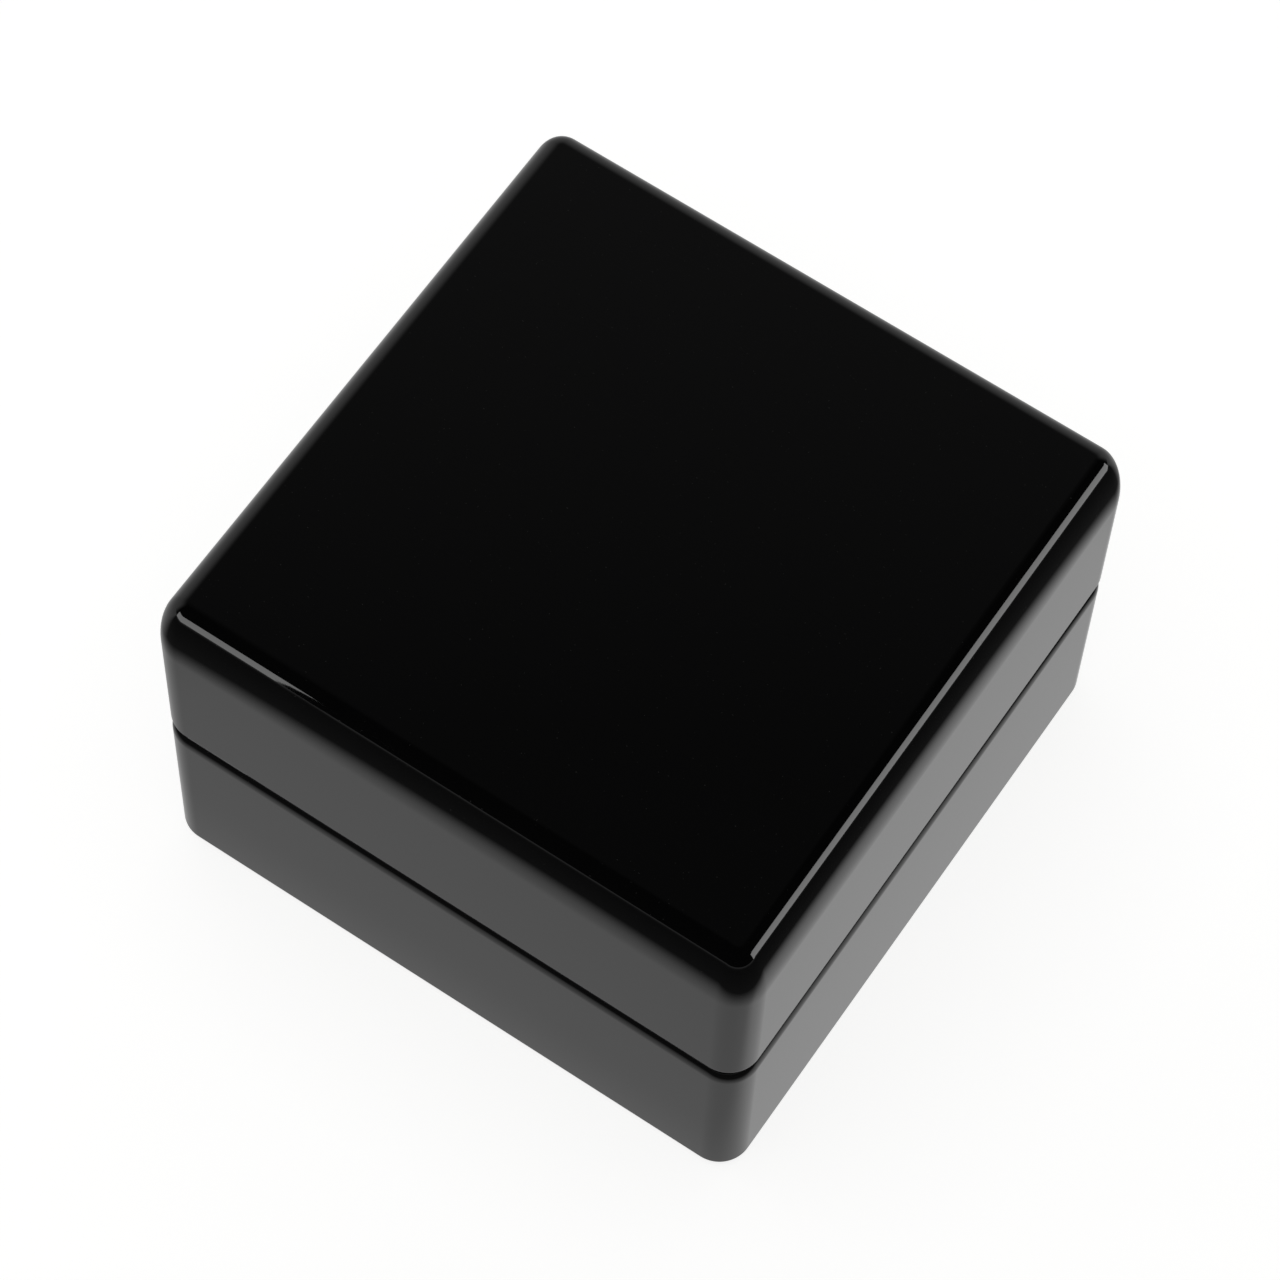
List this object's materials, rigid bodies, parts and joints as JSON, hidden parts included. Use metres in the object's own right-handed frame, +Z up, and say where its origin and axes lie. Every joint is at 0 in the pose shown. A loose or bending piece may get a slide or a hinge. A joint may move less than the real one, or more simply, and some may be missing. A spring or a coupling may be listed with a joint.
{
  "type": "presentation box",
  "caption": "Square black lacquered wooden presentation box: hinged lid that lifts to 100 degrees, fabric lining, removable cushion and a felt foot",
  "frame": {"origin": "centre of the footprint on the resting plane, which is the underside of the felt pad", "axes": "+Z up; the front, where the lid is lifted, faces -Y; the hinges are at the back, towards +Y; +X is to the right seen from the front"},
  "size_m": [0.11, 0.11, 0.0764],
  "materials": {
    "black_lacquer": "black piano lacquer over fibreboard, polished to a mirror gloss",
    "black_felt": "thin pressed felt",
    "ivory_velvet": "short-pile velvet, matt with a soft sheen",
    "ivory_padding": "short-pile velvet over soft foam",
    "covered_card": "card wrapped in velvet",
    "plated_brass": "polished brass plating",
    "nickel_magnet": "bright nickel plating"
  },
  "bodies": {
    "base": {"felt_pad": "black_felt", "base_bottom_panel": "black_lacquer", "base_front_wall": "black_lacquer", "base_back_wall": "black_lacquer", "base_left_wall": "black_lacquer", "base_right_wall": "black_lacquer", "base_liner_front": "ivory_velvet", "base_liner_back": "ivory_velvet", "base_liner_left": "ivory_velvet", "base_liner_right": "ivory_velvet", "floor_lining": "ivory_velvet", "insert_block": "ivory_velvet", "cushion": "ivory_padding", "base_magnets": "nickel_magnet", "hinge_left_base_leaf": "plated_brass", "hinge_right_base_leaf": "plated_brass", "hinge_left_pin": "plated_brass", "hinge_right_pin": "plated_brass", "base_hinge_screws": "plated_brass"},
    "lid": {"lid_top_panel": "black_lacquer", "lid_front_wall": "black_lacquer", "lid_back_wall": "black_lacquer", "lid_left_wall": "black_lacquer", "lid_right_wall": "black_lacquer", "lid_liner_front": "ivory_velvet", "lid_liner_back": "ivory_velvet", "lid_liner_left": "ivory_velvet", "lid_liner_right": "ivory_velvet", "lid_pad_board": "covered_card", "lid_pad": "ivory_padding", "lid_magnets": "nickel_magnet", "hinge_left_lid_leaf": "plated_brass", "hinge_right_lid_leaf": "plated_brass", "lid_hinge_screws": "plated_brass"}
  },
  "joints": [
    {"name": "lid_hinge", "type": "hinge", "parent": "base", "child": "lid", "pos_m": [0, 0.053, 0.0389], "axis": [-1, 0, 0], "range_deg": [0, 100]}
  ]
}
